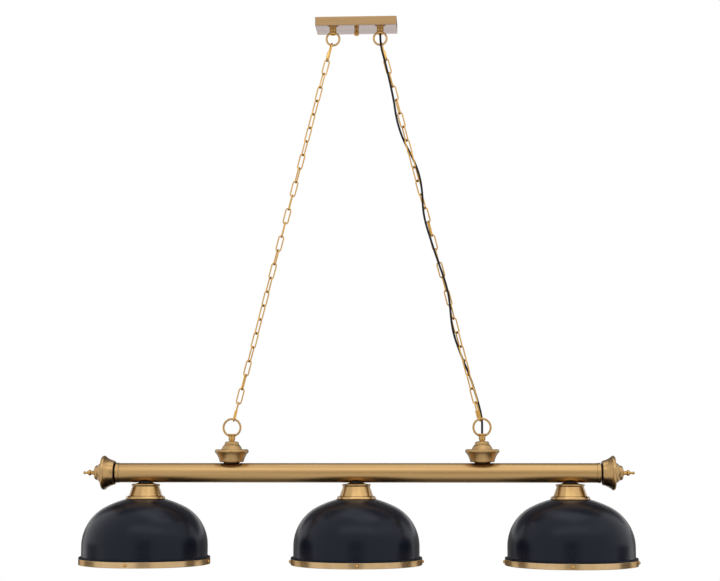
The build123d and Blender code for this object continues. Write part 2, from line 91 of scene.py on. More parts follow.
def on_chain(side, along):
    """The place so many millimetres down a chain from its top ring's middle, with Z up the chain."""
    x = side * (top_loop_x + along / 1000 * math.sin(chain_angle))
    z = top_ring_z - along / 1000 * math.cos(chain_angle)
    return Matrix.Translation((x, 0, z)) @ Matrix.Rotation(-side * chain_angle, 4, "Y")


cord_points = [Vector((top_loop_x, 0, cord_head_z + cord_entry)), Vector((top_loop_x, 0, cord_head_z))]
for knot, (across, back) in enumerate(cord_weave):
    beside = on_chain(1, first_link + (knot - cord_lead) * link_pitch)
    cord_points.append(beside @ Vector((across / 1000, back / 1000, 0)))
cord_foot_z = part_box("bottom_loop_right")[0].z + cord_foot_rise
cord_points += [Vector((bottom_loop_x, 0, cord_foot_z)), Vector((bottom_loop_x, 0, cord_foot_z - cord_entry))]

curve = bpy.data.curves.new("cord_route", "CURVE")
curve.dimensions = "3D"
spline = curve.splines.new("NURBS")
spline.points.add(len(cord_points) - 1)
for point, place in zip(spline.points, cord_points):
    point.co = (*place, 1)
spline.order_u = 3
spline.use_endpoint_u = True
spline.resolution_u = 10
route = bpy.data.objects.new("cord_route", curve)
bpy.context.scene.collection.objects.link(route)
line = [vertex.co.copy() for vertex in bpy.data.meshes.new_from_object(route).vertices]
bpy.data.objects.remove(route)


class Mix:
    """One socket of a finish. Arithmetic on it adds Math nodes, and make() adds any other node."""

    def __init__(self, tree, socket):
        self.tree, self.socket = tree, socket

    def make(self, kind, settings, sockets, out=0):
        """A new node with its settings, and values or links in its sockets."""
        node = self.tree.nodes.new(kind)
        for name, value in settings.items():
            setattr(node, name, value)
        for name, value in sockets.items():
            if isinstance(value, Mix):
                self.tree.links.new(value.socket, node.inputs[name])
            else:
                node.inputs[name].default_value = value
        return Mix(self.tree, node.outputs[out])

    def math(self, operation, *values):
        """A Math node on these values."""
        return self.make("ShaderNodeMath", {"operation": operation}, dict(enumerate(values)))

    def __add__(self, other):
        return self.math("ADD", self, other)

    __radd__ = __add__

    def __mul__(self, other):
        return self.math("MULTIPLY", self, other)

    __rmul__ = __mul__

    def __sub__(self, other):
        return self.math("SUBTRACT", self, other)

    def __rsub__(self, other):
        return self.math("SUBTRACT", other, self)

    def scaled(self, x, y, z):
        """A place stretched along each axis."""
        return self.make("ShaderNodeVectorMath", {"operation": "MULTIPLY"}, {0: self, 1: (x, y, z)})

    def noise(self, scale, detail, roughness=0.5):
        """Noise over this place."""
        sockets = {"Vector": self, "Scale": scale, "Detail": detail, "Roughness": roughness}
        return self.make("ShaderNodeTexNoise", {}, sockets)

    def between(self, low, high):
        """This value spread from a low and a high limit to 0 and 1."""
        limits = {"Value": self, "From Min": low, "From Max": high}
        return self.make("ShaderNodeMapRange", {"clamp": True}, limits)

    def colours(self, first, second):
        """A mix of two colours by this value."""
        sockets = {0: self, 6: first, 7: second}
        return self.make("ShaderNodeMix", {"data_type": "RGBA"}, sockets, out=2)

    def bump(self, strength, distance):
        """This value as the height of a surface."""
        sockets = {"Height": self, "Strength": strength, "Distance": distance}
        return self.make("ShaderNodeBump", {}, sockets)


def finish(name, metallic=0.0, **sockets):
    """A new finish, its shader and the piece's own coordinates."""
    material = bpy.data.materials.new(name)
    material.use_nodes = True
    tree = material.node_tree
    shader = tree.nodes["Principled BSDF"]
    shader.inputs["Metallic"].default_value = metallic
    for socket, value in sockets.items():
        shader.inputs[socket.replace("_", " ")].default_value = value
    return material, shader, Mix(tree, tree.nodes.new("ShaderNodeTexCoord").outputs["Object"])


def wear(shader, **values):
    """Links worked-out values to a shader's sockets."""
    for socket, value in values.items():
        value.tree.links.new(value.socket, shader.inputs[socket.replace("_", " ")])


sheath, shader, place = finish("cord_sheath", Specular_IOR_Level=0.25)
scuff = place.noise(900, 2)
dust = place.noise(60, 3).between(0.45, 0.75)
wear(
    shader,
    Base_Color=(dust * 0.6 + scuff * 0.2).colours((0.005, 0.005, 0.006, 1), (0.020, 0.019, 0.019, 1)),
    Roughness=0.42 + scuff * 0.2,
    Normal=scuff.bump(0.25, 0.0003),
)


def cord_length(name, points):
    """One length of the cord as a closed tube round its points."""
    data = bpy.data.curves.new(name, "CURVE")
    data.dimensions = "3D"
    data.bevel_depth = cord_diameter / 2
    data.bevel_resolution = 4
    data.use_fill_caps = True
    run = data.splines.new("POLY")
    run.points.add(len(points) - 1)
    for point, place in zip(run.points, points):
        point.co = (*place, 1)
    piece = bpy.data.objects.new(name, data)
    bpy.context.scene.collection.objects.link(piece)
    bpy.ops.object.select_all(action="DESELECT")
    piece.select_set(True)
    bpy.context.view_layer.objects.active = piece
    bpy.ops.object.convert(target="MESH")
    bpy.ops.object.shade_smooth_by_angle(angle=math.radians(50))
    piece = bpy.context.object
    piece.data.materials.clear()
    piece.data.materials.append(sheath)
    return piece


cuts = [0]
for knot in cord_cuts:
    middle = (cord_points[knot] + cord_points[knot + 1]) / 2
    cuts.append(min(range(len(line)), key=lambda n: (line[n] - middle).length))
cuts.append(len(line) - 1)
cord_bends = (
    ("canopy_end", "canopy", "right_top_link", 12.0, 32.0),
    ("top_link", "right_top_link", "right_chain", 52.0, 76.0),
    ("run", "right_chain", None, 0, 0),
    ("bottom_link", "right_chain", "right_bottom_link", 1000.0, 1028.0),
    ("bar_end", "right_bottom_link", "bar", 1050.0, 1072.0),
)
for (name, upper, lower, start, end), first, last in zip(cord_bends, cuts, cuts[1:]):
    piece = cord_length(f"flex_{name}", line[first : last + 1])
    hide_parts(f"cord_{name}")
    if lower:
        on_chain(1, start).translation
        on_chain(1, end).translation
        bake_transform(piece)
    else:
        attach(piece, upper)

# Canopy: a box folded from thin brass sheet, open to the ceiling, its corners closed and its edges eased.
# The faces are brushed along their length and lacquered.
parts_of = {node: body for body, nodes in frame["record"]["behaviour"]["bodies"].items() for node in nodes}


def stands_for(piece, material, *nodes):
    """Gives a piece its finish and lets it ride where the parts that it stands for are."""
    piece.data.materials.clear()
    piece.data.materials.append(material)
    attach(piece, parts_of[nodes[0]])
    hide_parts(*nodes)


def coat(material, *nodes):
    """Gives parts that keep their own shape a finish."""
    for node in nodes:
        frame["nodes"][node].material_slots[0].material = material


def pick(piece, kind, wanted):
    """Goes into edit mode with the faces or edges whose middle and direction pass a test selected."""
    bpy.ops.object.mode_set(mode="OBJECT")
    bpy.context.tool_settings.mesh_select_mode = (False, kind == "EDGE", kind == "FACE")
    mesh = piece.data
    for group in (mesh.vertices, mesh.edges, mesh.polygons):
        group.foreach_set("select", [False] * len(group))
    if kind == "FACE":
        for face in mesh.polygons:
            face.select = wanted(face.center, face.normal)
    else:
        for edge in mesh.edges:
            a, b = (mesh.vertices[n].co for n in edge.vertices)
            edge.select = wanted((a + b) / 2, (b - a).normalized())
    bpy.ops.object.mode_set(mode="EDIT")


def apply_all(piece):
    """Applies a piece's modifiers in order, smooths its shallow edges and keeps its broad faces true."""
    bpy.ops.object.mode_set(mode="OBJECT")
    bpy.ops.object.select_all(action="DESELECT")
    piece.select_set(True)
    bpy.context.view_layer.objects.active = piece
    for modifier in list(piece.modifiers):
        bpy.ops.object.modifier_apply(modifier=modifier.name)
    bpy.ops.object.shade_smooth_by_angle(angle=math.radians(35))
    piece.modifiers.new("true", "WEIGHTED_NORMAL").keep_sharp = True
    bpy.ops.object.modifier_apply(modifier="true")


def brass(
    name, grain, light, dark, rough, patch=None, patch_colour=(0.06, 0.036, 0.014, 1), drawn=(28, 28, 28),
    lacquer=0.5, edge=(1, 1, 1, 1),
):
    """Brass with a grain, a little tarnish and some lacquer, in another colour where patch says, used for
    painted shade and a painted reflection.
    """
    material, shader, place = finish(
        name, metallic=1.0, Coat_Weight=lacquer, Coat_Roughness=0.15, Specular_Tint=edge
    )
    lines = grain(place)
    tarnish = place.scaled(*drawn).noise(1, 4, 0.6).between(0.38, 0.72)
    colour = (lines * 0.55 + tarnish * 0.45).colours(light, dark)
    if patch:
        colour = patch(place).colours(colour, patch_colour)
    wear(
        shader,
        Base_Color=colour,
        Roughness=rough + lines * 0.10 + tarnish * 0.06,
        Normal=lines.bump(0.06, 0.0002),
    )
    return material


def grain_along_x(place):
    """Fine and broad lines brushed along X."""
    fine = place.scaled(4, 1100, 1100).noise(1, 3, 0.6)
    broad = place.scaled(1.5, 330, 330).noise(1, 3, 0.6).between(0.28, 0.72)
    return fine * 0.5 + broad * 0.5


canopy_low, canopy_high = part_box("canopy_cover")
corner_round = 0.003
fold_round = 0.0009
canopy_wall = 0.0012


def painted_reflection_face(place):
    """The canopy's lower face, which is painted a pale pinkish grey as a painted reflection."""
    height = place.make("ShaderNodeSeparateXYZ", {}, {0: place}, out=2)
    return 1 - height.between(canopy_low.z + 0.0002, canopy_low.z + 0.0010)


# The lower face is painted a pale pinkish grey. This is a painted reflection of pale surroundings, not the
# brass's own colour.
canopy_brass = brass(
    "canopy_brass", grain_along_x, (0.36, 0.224, 0.098, 1), (0.27, 0.162, 0.066, 1), 0.12,
    painted_reflection_face, (0.440, 0.333, 0.292, 1), (4, 90, 90),
)
bpy.ops.object.select_all(action="DESELECT")
bpy.ops.mesh.primitive_cube_add(size=1, location=(canopy_low + canopy_high) / 2)
canopy = bpy.context.object
canopy.name = "canopy_box"
canopy.scale = canopy_high - canopy_low
bpy.ops.object.transform_apply(location=True, rotation=True, scale=True)
pick(canopy, "FACE", lambda middle, normal: normal.z > 0.9)
bpy.ops.mesh.delete(type="FACE")
pick(canopy, "EDGE", lambda middle, way: abs(way.z) > 0.9)
bpy.ops.mesh.bevel(offset=corner_round, segments=6, affect="EDGES")
pick(canopy, "EDGE", lambda middle, way: middle.z < canopy_low.z + 1e-5)
bpy.ops.mesh.bevel(offset=fold_round, segments=4, affect="EDGES")
bpy.ops.object.mode_set(mode="OBJECT")
sheet = canopy.modifiers.new("sheet", "SOLIDIFY")
sheet.thickness, sheet.offset = canopy_wall, -1
apply_all(canopy)
stands_for(canopy, canopy_brass, "canopy_cover")

# Fixings that don't show: the zinc-plated crossbar, stiffener, stud, nipples, nuts and washers, a green
# ground screw and three moulded wire connectors. The crossbar is screwed up to the ceiling, and the stud
# comes down from it through the canopy.
zinc, shader, place = finish("zinc_plate", metallic=1.0)
spangle = place.noise(260, 3, 0.6)
stain = place.noise(45, 3).between(0.4, 0.8)
wear(
    shader,
    Base_Color=(spangle * 0.5 + stain * 0.5).colours((0.62, 0.62, 0.60, 1), (0.40, 0.40, 0.37, 1)),
    Roughness=0.30 + spangle * 0.2,
    Normal=spangle.bump(0.08, 0.0002),
)
coat(zinc, "ceiling_crossbar", "canopy_stiffener", "canopy_stud", "canopy_nuts", "canopy_nipples")
coat(zinc, "hanger_nipples", "hanger_nuts", "stem_nipples", "stem_nuts", "clamp_washers", "end_studs")

green, shader, place = finish("green_lacquer", metallic=0.4)
chip = place.noise(700, 3).between(0.55, 0.75)
wear(
    shader,
    Base_Color=chip.colours((0.03, 0.18, 0.06, 1), (0.22, 0.30, 0.16, 1)),
    Roughness=0.32 + chip * 0.3,
)
coat(green, "ground_screw")

moulding, shader, place = finish("connector_moulding")
mottle = place.noise(500, 2)
wear(
    shader,
    Base_Color=mottle.colours((0.62, 0.20, 0.03, 1), (0.52, 0.15, 0.02, 1)),
    Roughness=0.35 + mottle * 0.15,
    Normal=mottle.bump(0.12, 0.0003),
)
coat(moulding, "wire_connectors")

# Loops: brass castings, a wire ring run into a turned neck. The small pair screw up into the canopy and
# the large pair down onto the cups.


def turned(name, outline, steps):
    """Turns an outline of (radius, height) points, in millimetres, about the Z axis as on a lathe."""
    bpy.ops.object.select_all(action="DESELECT")
    bpy.ops.mesh.primitive_plane_add(size=0.001)
    piece = bpy.context.object
    piece.name = name
    bpy.ops.object.mode_set(mode="EDIT")
    bpy.ops.mesh.select_mode(type="VERT")
    bpy.ops.mesh.select_all(action="SELECT")
    bpy.ops.mesh.merge(type="CENTER")
    first_r, first_z = outline[0]
    bpy.ops.transform.translate(value=(first_r / 1000, 0, first_z / 1000))
    for (r, z), (next_r, next_z) in zip(outline, outline[1:]):
        step = ((next_r - r) / 1000, 0, (next_z - z) / 1000)
        bpy.ops.mesh.extrude_region_move(TRANSFORM_OT_translate={"value": step})
    bpy.ops.mesh.select_all(action="SELECT")
    bpy.ops.mesh.spin(steps=steps, angle=2 * math.pi, center=(0, 0, 0), axis=(0, 0, 1))
    bpy.ops.mesh.select_all(action="SELECT")
    bpy.ops.mesh.remove_doubles(threshold=0.000002)
    bpy.ops.mesh.normals_make_consistent(inside=False)
    bpy.ops.object.mode_set(mode="OBJECT")
    return piece


def rounded(piece, width, angle=25):
    """Eases the sharp edges of a piece."""
    ease = piece.modifiers.new("ease", "BEVEL")
    ease.width, ease.segments, ease.limit_method, ease.angle_limit = width, 3, "ANGLE", math.radians(angle)
    apply_all(piece)


def copied(piece, name, place):
    """Another of the same piece, with its own mesh, put in its place."""
    twin = piece.copy()
    twin.data = piece.data.copy()
    twin.name = name
    bpy.context.scene.collection.objects.link(twin)
    twin.data.transform(place)
    return twin


def joined(name, *pieces):
    """Several meshes made one piece."""
    bpy.ops.object.select_all(action="DESELECT")
    for piece in pieces:
        piece.select_set(True)
    bpy.context.view_layer.objects.active = pieces[0]
    bpy.ops.object.join()
    pieces[0].name = name
    return pieces[0]


def grain_cast(place):
    """The fine mottle of a polished casting."""
    return place.noise(420, 4, 0.6)


ring_wire = 0.0054
wire_edge = (0.80, 0.58, 0.30, 1)
cast_brass = brass(
    "cast_brass", grain_cast, (0.66, 0.405, 0.140, 1), (0.42, 0.24, 0.074, 1), 0.10,
    lacquer=0.08, edge=wire_edge,
)


def loop(name, ring_r, ring_z, neck):
    """A wire ring facing the front, run into its turned neck."""
    shaft = turned(f"{name}_neck", neck, 48)
    rounded(shaft, 0.0004)
    bpy.ops.object.select_all(action="DESELECT")
    bpy.ops.mesh.primitive_torus_add(
        major_radius=ring_r / 1000, minor_radius=ring_wire / 2, major_segments=96, minor_segments=20,
        location=(0, 0, ring_z / 1000), rotation=(math.pi / 2, 0, 0),
    )
    ring = bpy.context.object
    bpy.ops.object.transform_apply(location=True, rotation=True, scale=True)
    bpy.ops.object.shade_smooth_by_angle(angle=math.radians(60))
    return joined(name, shaft, ring)


top_loop = loop("loop_top", 17.5, -25.4, [
    (3.7, -8), (4.9, -8), (4.9, 0), (9.4, 0), (9.4, -1.6), (8.8, -2.4), (8.8, -7.6), (9.4, -8.6),
    (9.4, -10.9), (8.2, -13.4), (3.7, -13.4), (3.7, -8),
])
bottom_loop = loop("loop_bottom", 22.5, 36.5, [
    (3.7, 8), (4.9, 8), (4.9, 0), (7.2, 0), (7.2, 2.2), (7.8, 3.2), (8.7, 5.2), (8.7, 13.2), (9.2, 14.8),
    (10.3, 16.4), (10.4, 18.6), (9.4, 20.0), (4.9, 20.0), (3.7, 14.0), (3.7, 8),
])
cup_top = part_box("hanger_cup_left")[1].z
for side, sign in (("left", -1), ("right", 1)):
    piece = copied(top_loop, f"ring_top_{side}", Matrix.Translation((sign * top_loop_x, 0, canopy_low.z)))
    stands_for(piece, cast_brass, f"top_loop_{side}")
    piece = copied(bottom_loop, f"ring_bottom_{side}", Matrix.Translation((sign * bottom_loop_x, 0, cup_top)))
    stands_for(piece, cast_brass, f"bottom_loop_{side}")
bpy.data.objects.remove(top_loop)
bpy.data.objects.remove(bottom_loop)

# Knob: a knurled brass thumb nut under the middle of the canopy. It screws onto the stud and draws the
# canopy up to the ceiling.
coat(cast_brass, "canopy_knob")

# Chains: brass-plated wire links, each turned a little over a quarter from the one above, with a screw
# quick link at both ends. They hang straight from the canopy's rings to the tube's.
link_count = 25
link_turn = 96.3
sleeve_drop = 0.007
# Links are darkened where they bear on each other. This is partly tarnish and partly painted contact shadow.
bearing_wear_and_shade = 0.85


def grain_wire(place):
    """The fine mottle of plated wire."""
    return place.noise(650, 4, 0.6)


def dark_at(along, rows):
    """Dark lines across a distance, each with its middle and half width, in millimetres."""
    dark = 0.0
    for middle, width in rows:
        line = 1 - along.math("ABSOLUTE", along - middle).between(width * 0.4, width)
        dark = along.math("MAXIMUM", dark, line)
    return dark


def down_chain(place):
    """Millimetres down either chain from its top ring's middle, and what is near the chain's own line."""
    x, y, z = (place.make("ShaderNodeSeparateXYZ", {}, {0: place}, out=axis) for axis in range(3))
    out = (x.math("ABSOLUTE", x) - top_loop_x) * 1000
    up = (z - top_ring_z) * 1000
    across = out * math.cos(chain_angle) + up * math.sin(chain_angle)
    off_line = y.math("SQRT", across * across + y * y * 1e6)
    return out * math.sin(chain_angle) - up * math.cos(chain_angle), 1 - off_line.between(2.4, 4.6)


def link_ends(place):
    """Where each link bears on the next, darkened by tarnish and a painted contact shadow."""
    along, near = down_chain(place)
    link = (along - first_link) * (1 / link_pitch)
    return dark_at(link.math("FRACT", link) * link_pitch, [(link_pitch / 2, 3.4)]) * near * bearing_wear_and_shade


def quick_ends(place):
    """Where the quick links bear on the rings and on the chains, darkened by tarnish and a painted contact
    shadow.
    """
    along, near = down_chain(place)
    return dark_at(along, [(15.0, 3.0), (61.4, 3.4), (1016.4, 3.4), (1063.0, 3.0)]) * near * bearing_wear_and_shade


chain_light = (0.80, 0.485, 0.148, 1)
chain_dark = (0.57, 0.322, 0.084, 1)
# The colour where links bear: tarnish together with painted contact shadow.
bearing_tarnish_and_shade = (0.10, 0.048, 0.014, 1)
chain_brass, quick_brass = (
    brass(name, grain_wire, chain_light, chain_dark, 0.12, ends, bearing_tarnish_and_shade, lacquer=0.0, edge=wire_edge)
    for name, ends in (("chain_brass", link_ends), ("quick_brass", quick_ends))
)


def wire_link(name, inner, width, wire):
    """A welded link of round wire standing in the XZ plane."""
    bend = (width - wire) / 2000
    bpy.ops.object.select_all(action="DESELECT")
    bpy.ops.mesh.primitive_torus_add(
        major_radius=bend, minor_radius=wire / 2000, major_segments=32, minor_segments=14,
        rotation=(math.pi / 2, 0, 0),
    )
    piece = bpy.context.object
    piece.name = name
    bpy.ops.object.transform_apply(location=True, rotation=True, scale=True)
    rise = (inner + wire) / 2000 - bend
    for sign in (1, -1):
        pick(piece, "FACE", lambda middle, normal: sign * middle.z > 1e-5)
        bpy.ops.transform.translate(value=(0, 0, sign * rise))
    bpy.ops.object.mode_set(mode="OBJECT")
    bpy.ops.object.shade_smooth_by_angle(angle=math.radians(70))
    return piece


plain_link = wire_link("link", 38.3, 16.9, 3.7)
quick_link = wire_link("quick", 47.0, 17.0, 4.0)
sleeve = turned("sleeve", [
    (2.3, -10), (3.9, -10), (4.35, -9.4), (4.35, 9.4), (3.9, 10), (2.3, 10), (2.3, -10),
], 6)
rounded(sleeve, 0.0003, 20)
for side, sign, first_turn in (("left", -1, 28.0), ("right", 1, -3.0)):
    links = []
    for count in range(link_count):
        turn = Matrix.Rotation(math.radians(first_turn + count * link_turn), 4, "Z")
        place = on_chain(sign, first_link + count * link_pitch) @ turn
        links.append(copied(plain_link, f"link_{count}", place))
    stands_for(joined(f"link_run_{side}", *links), chain_brass, f"chain_{side}")
    for end, along, turn, seat in (
        ("top", 38.1, first_turn - link_turn, -0.0065),
        ("bottom", 1039.7, first_turn + link_count * link_turn, 0.0065),
    ):
        place = on_chain(sign, along) @ Matrix.Rotation(math.radians(turn), 4, "Z")
        piece = copied(quick_link, f"quick_{end}_{side}", place)
        stands_for(piece, quick_brass, f"quick_link_{end}_{side}")
        piece = copied(sleeve, f"sleeve_{end}_{side}", place @ Matrix.Translation((seat, 0, -sleeve_drop)))
        stands_for(piece, quick_brass, f"link_sleeve_{end}_{side}")
for pattern in (plain_link, quick_link, sleeve):
    bpy.data.objects.remove(pattern)

# Cups and end caps: the same brass spinning, a flared skirt with a rolled rim, a swelling cone and a small
# stepped crown, brushed round and lacquered. One pair stands on the tube under the loops, each on a low foot,
# and the other pair closes the tube's ends.


def arc(start, end, bow, steps=8):
    """Outline points between two others, bent by a sag to the left of their direction."""
    start, end = Vector(start), Vector(end)
    across = Vector((start.y - end.y, end.x - start.x)).normalized()
    shares = [n / steps for n in range(1, steps)]
    return [tuple(start.lerp(end, s) + across * bow * 4 * s * (1 - s)) for s in shares]


def grain_round(axis, mottle, *middle):
    """Grain that runs round an axis through a point, with a share of fine mottle."""
    def grain(place):
        near = place.make("ShaderNodeVectorMath", {"operation": "SUBTRACT"}, {0: place, 1: middle})
        flat = near.scaled(*[0 if n == axis else 1 for n in range(3)])
        radius = flat.make("ShaderNodeVectorMath", {"operation": "LENGTH"}, {0: flat}, out=1)
        height = near.make("ShaderNodeSeparateXYZ", {}, {0: near}, out=axis)
        rings = near.make("ShaderNodeCombineXYZ", {}, {0: radius * 900, 1: height * 900})
        drift = near.make(
            "ShaderNodeVectorMath", {"operation": "MULTIPLY_ADD"}, {0: near, 1: (14, 14, 14), 2: rings}
        )
        return drift.noise(1, 3, 0.6) * (1 - mottle) + near.noise(380, 3, 0.6) * mottle
    return grain


def painted_shade_lines(axis, start, *rows):
    """Painted shade: dark lines in creases and under lips, at distances from a start along an axis, each with
    its half width, in millimetres.
    """
    def patch(place):
        height = place.make("ShaderNodeSeparateXYZ", {}, {0: place}, out=axis)
        return dark_at(height.math("ABSOLUTE", height - start) * 1000, rows) * 0.6
    return patch


def spun_cup(name, bore):
    """The spinning, standing on its narrow end, with a hole of this radius through its boss and crown."""
    return turned(name, [
        (bore, 0), (9, 0), (9, 43.5), (17.4, 43.5), (24.4, 32.0), (39.6, 32.0), (39.6, 25.5), (28.8, 12.0),
        (28.8, 0), (29.8, 0), (31.0, 0.5), (31.8, 1.9),
        *arc((31.8, 1.9), (42.0, 23.6), 1.4, 14), (42.0, 23.6), (42.4, 24.0), (43.5, 24.6),
        *arc((43.5, 24.6), (42.4, 33.3), -1.9, 14), (42.4, 33.3), (41.6, 33.5), (28.2, 33.5), (27.4, 33.7),
        *arc((27.4, 33.7), (20.6, 44.6), -0.8, 10), (20.6, 44.6), (20.2, 45.0), (19.4, 45.0), (19.0, 45.4),
        *arc((19.0, 45.4), (13.4, 54.0), -2.4, 10), (13.4, 54.0), (bore, 54), (bore, 0),
    ], 128)


cap_seat = 0.6394
cup_light = (0.57, 0.355, 0.14, 1)
cup_dark = (0.34, 0.20, 0.074, 1)
# Painted shade lines on the spinning: at its base, under its rim and in the steps up to the crown. The caps
# leave out the line under the rim.
cup_shade_lines = ((0.0, 1.2), (24.0, 1.0), (33.6, 0.9), (45.0, 0.8))
cap_shade_lines = ((0.0, 1.2), (33.6, 0.7), (45.0, 0.6))
cup = spun_cup("cup", 4.9)
rounded(cup, 0.0003, 40)
foot = turned("foot", [
    (4.9, 0.2), (23.2, 0.2), (22.4, -0.6), (21.2, -1.4), (20.4, -1.8), (4.9, -1.8), (4.9, 0.2),
], 96)
apply_all(foot)
cup = joined("cup", cup, foot)
cap = spun_cup("cap", 3.1)
rounded(cap, 0.0003, 40)
cup_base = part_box("hanger_cup_left")[0].z
tube_low, tube_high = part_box("bar_tube")
tube_z = (tube_low.z + tube_high.z) / 2
for side, sign in (("left", -1), ("right", 1)):
    piece = copied(cup, f"cup_{side}", Matrix.Translation((sign * bottom_loop_x, 0, cup_base)))
    material = brass(
        f"cup_brass_{side}", grain_round(2, 0.4, sign * bottom_loop_x, 0, 0), cup_light, cup_dark, 0.33,
        painted_shade_lines(2, cup_base, *cup_shade_lines),
    )
    stands_for(piece, material, f"hanger_cup_{side}")
    outward = Matrix.Translation((sign * cap_seat, 0, tube_z)) @ Matrix.Rotation(sign * math.pi / 2, 4, "Y")
    piece = copied(cap, f"cap_{side}", outward)
    material = brass(
        f"cap_brass_{side}", grain_round(0, 0.4, 0, 0, tube_z), cup_light, cup_dark, 0.22,
        painted_shade_lines(0, sign * cap_seat, *cap_shade_lines),
    )
    stands_for(piece, material, f"end_cap_{side}")
bpy.data.objects.remove(cup)
bpy.data.objects.remove(cap)

# Black spacers: moulded pads between cup and tube, tube and shade holder, and tube end and cap, and the
# plugs inside the tube's ends. The pads under the cups are hollowed to sit on the tube.
pad_size = (0.0205, 0.0088, 0.0072)
pad_drop = 0.0054
saddle_r = 0.0255
pad_black, shader, place = finish("pad_black", Specular_IOR_Level=0.25)
pebble = place.noise(800, 3)
wear(
    shader,
    Base_Color=pebble.colours((0.005, 0.005, 0.006, 1), (0.014, 0.013, 0.013, 1)),
    Roughness=0.45 + pebble * 0.2,
    Normal=pebble.bump(0.15, 0.0003),
)
coat(pad_black, "stem_necks", "end_spacers", "end_plugs")

bpy.ops.object.select_all(action="DESELECT")
bpy.ops.mesh.primitive_cylinder_add(vertices=96, radius=1, depth=1, location=(0, 0, cup_base - pad_drop))
pad = bpy.context.object
pad.scale = pad_size
bpy.ops.object.transform_apply(location=True, rotation=True, scale=True)
bpy.ops.mesh.primitive_cylinder_add(
    vertices=256, radius=saddle_r, depth=0.1, location=(0, 0, tube_z), rotation=(0, math.pi / 2, 0)
)
hollow = bpy.context.object
saddle = pad.modifiers.new("saddle", "BOOLEAN")
saddle.object, saddle.operation = hollow, "DIFFERENCE"
apply_all(pad)
bpy.data.objects.remove(hollow)
for side, sign in (("left", -1), ("right", 1)):
    piece = copied(pad, f"saddle_{side}", Matrix.Translation((sign * bottom_loop_x, 0, 0)))
    stands_for(piece, pad_black, "saddle_spacers")
bpy.data.objects.remove(pad)

# Tube: 2 in brass tube, brushed lengthwise and lacquered, with a thin collar slipped over each end. It hangs
# from the two cups and carries the three shades.
# A painted shade line runs round the tube at each collar's inner edge.
tube_brass = brass(
    "tube_brass", grain_along_x, (0.59, 0.368, 0.146, 1), (0.40, 0.239, 0.086, 1), 0.32,
    painted_shade_lines(0, 0, (625.9, 1.0)), drawn=(1.2, 40, 40),
)
along_x = Matrix.Translation((0, 0, tube_z)) @ Matrix.Rotation(math.pi / 2, 4, "Y")
tube = turned("tube", [(25.4, -635.2), (25.4, 635.2), (24.2, 635.2), (24.2, -635.2), (25.4, -635.2)], 128)
tube.data.transform(along_x)
rounded(tube, 0.0003)
stands_for(tube, tube_brass, "bar_tube")
collar = turned("collar", [
    (25.55, 626.7), (25.8, 626.7), (26.0, 627.0), (26.1, 630.4), (26.0, 630.7), (26.0, 631.0),
    (26.2, 631.3), (26.6, 633.8), (26.7, 634.6), (26.5, 635.2), (25.55, 635.2), (25.55, 626.7),
], 128)
rounded(collar, 0.0002)
for side, sign in (("left", -1), ("right", 1)):
    outward = Matrix.Translation((0, 0, tube_z)) @ Matrix.Rotation(sign * math.pi / 2, 4, "Y")
    stands_for(copied(collar, f"collar_{side}", outward), tube_brass, "end_collars")
bpy.data.objects.remove(collar)

# Finials: small brass turnings, a neck, a bead, a stem and a ball, screwed onto the ends of the studs that
# draw the caps up against the tube.
finial_seat = 0.6934


def circle_arc(centre, radius, start, end, steps):
    """Outline points on a circle, by angles in degrees."""
    angles = [math.radians(start + (end - start) * n / steps) for n in range(steps + 1)]
    return [(centre[0] + radius * math.cos(a), centre[1] + radius * math.sin(a)) for a in angles]


finial = turned("finial", [
    (3.1, 8), (3.1, 0), (6.6, 0), (7.2, 0.6), (7.2, 1.3), (6.7, 1.8),
    *arc((6.7, 1.8), (5.0, 8.6), 0.7), (5.0, 8.6), (5.4, 9.4),
    *arc((5.4, 9.4), (5.4, 17.4), -2.2, 12), (5.4, 17.4), (4.9, 18.0),
    *arc((4.9, 18.0), (2.6, 23.2), 0.6), (2.6, 23.2), *circle_arc((0, 26.9), 3.9, -40, 80, 12),
    (0, 30.8), (0, 8), (3.1, 8),
], 64)
apply_all(finial)
for side, sign in (("left", -1), ("right", 1)):
    seat = Matrix.Translation((sign * finial_seat, 0, tube_z))
    outward = seat @ Matrix.Rotation(sign * math.pi / 2, 4, "Y")
    stands_for(copied(finial, f"finial_turning_{side}", outward), cast_brass, f"finial_{side}")
bpy.data.objects.remove(finial)

# Shade holders: lipped brass galleries spun in one piece, brushed round and lacquered. They stand on the
# shades' crowns and are drawn up against the black necks by the stems.
holder_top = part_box("shade_holder_centre")[1].z
shade_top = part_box("shade_holder_centre")[0].z
holder = turned("holder", [
    (4.9, 0), (18.8, 0), (18.8, -2.2), (19.6, -2.5), *arc((19.6, -2.5), (36.2, 0.6), 0.6, 6), (36.2, 0.6),
    (37.3, 1.3), (37.7, 2.3), (37.5, 3.7), (36.8, 4.8), (35.9, 5.5), (35.4, 6.4), (35.4, 7.4),
    (43.6, 30.6), (44.3, 31.6), (45.4, 31.9), (48.2, 32.0), (49.0, 32.3), (49.7, 33.0), (50.4, 34.8),
    (51.1, 36.7), (51.6, 38.2), (51.4, 39.0), (50.8, 39.4), (43.1, 39.4),
    (43.1, 31.8), (34.1, 5.8), (34.1, 1.2), (4.9, 1.2), (4.9, 0),
], 128)
holder.data.transform(Matrix.Scale(-1, 4, (0, 0, 1)))
holder.data.flip_normals()
rounded(holder, 0.0003, 40)
shade_places = (("left", -0.5566), ("centre", 0.0), ("right", 0.5566))
for side, x in shade_places:
    piece = copied(holder, f"gallery_{side}", Matrix.Translation((x, 0, holder_top)))
    # Painted shade lines at the top face, under the top lip and above the foot.
    material = brass(
        f"gallery_brass_{side}", grain_round(2, 0.1, x, 0, 0), (0.58, 0.362, 0.140, 1),
        (0.40, 0.24, 0.086, 1), 0.18, painted_shade_lines(2, holder_top, (0.0, 0.9), (6.5, 1.0), (31.6, 0.9)),
    )
    stands_for(piece, material, f"shade_holder_{side}")
bpy.data.objects.remove(holder)

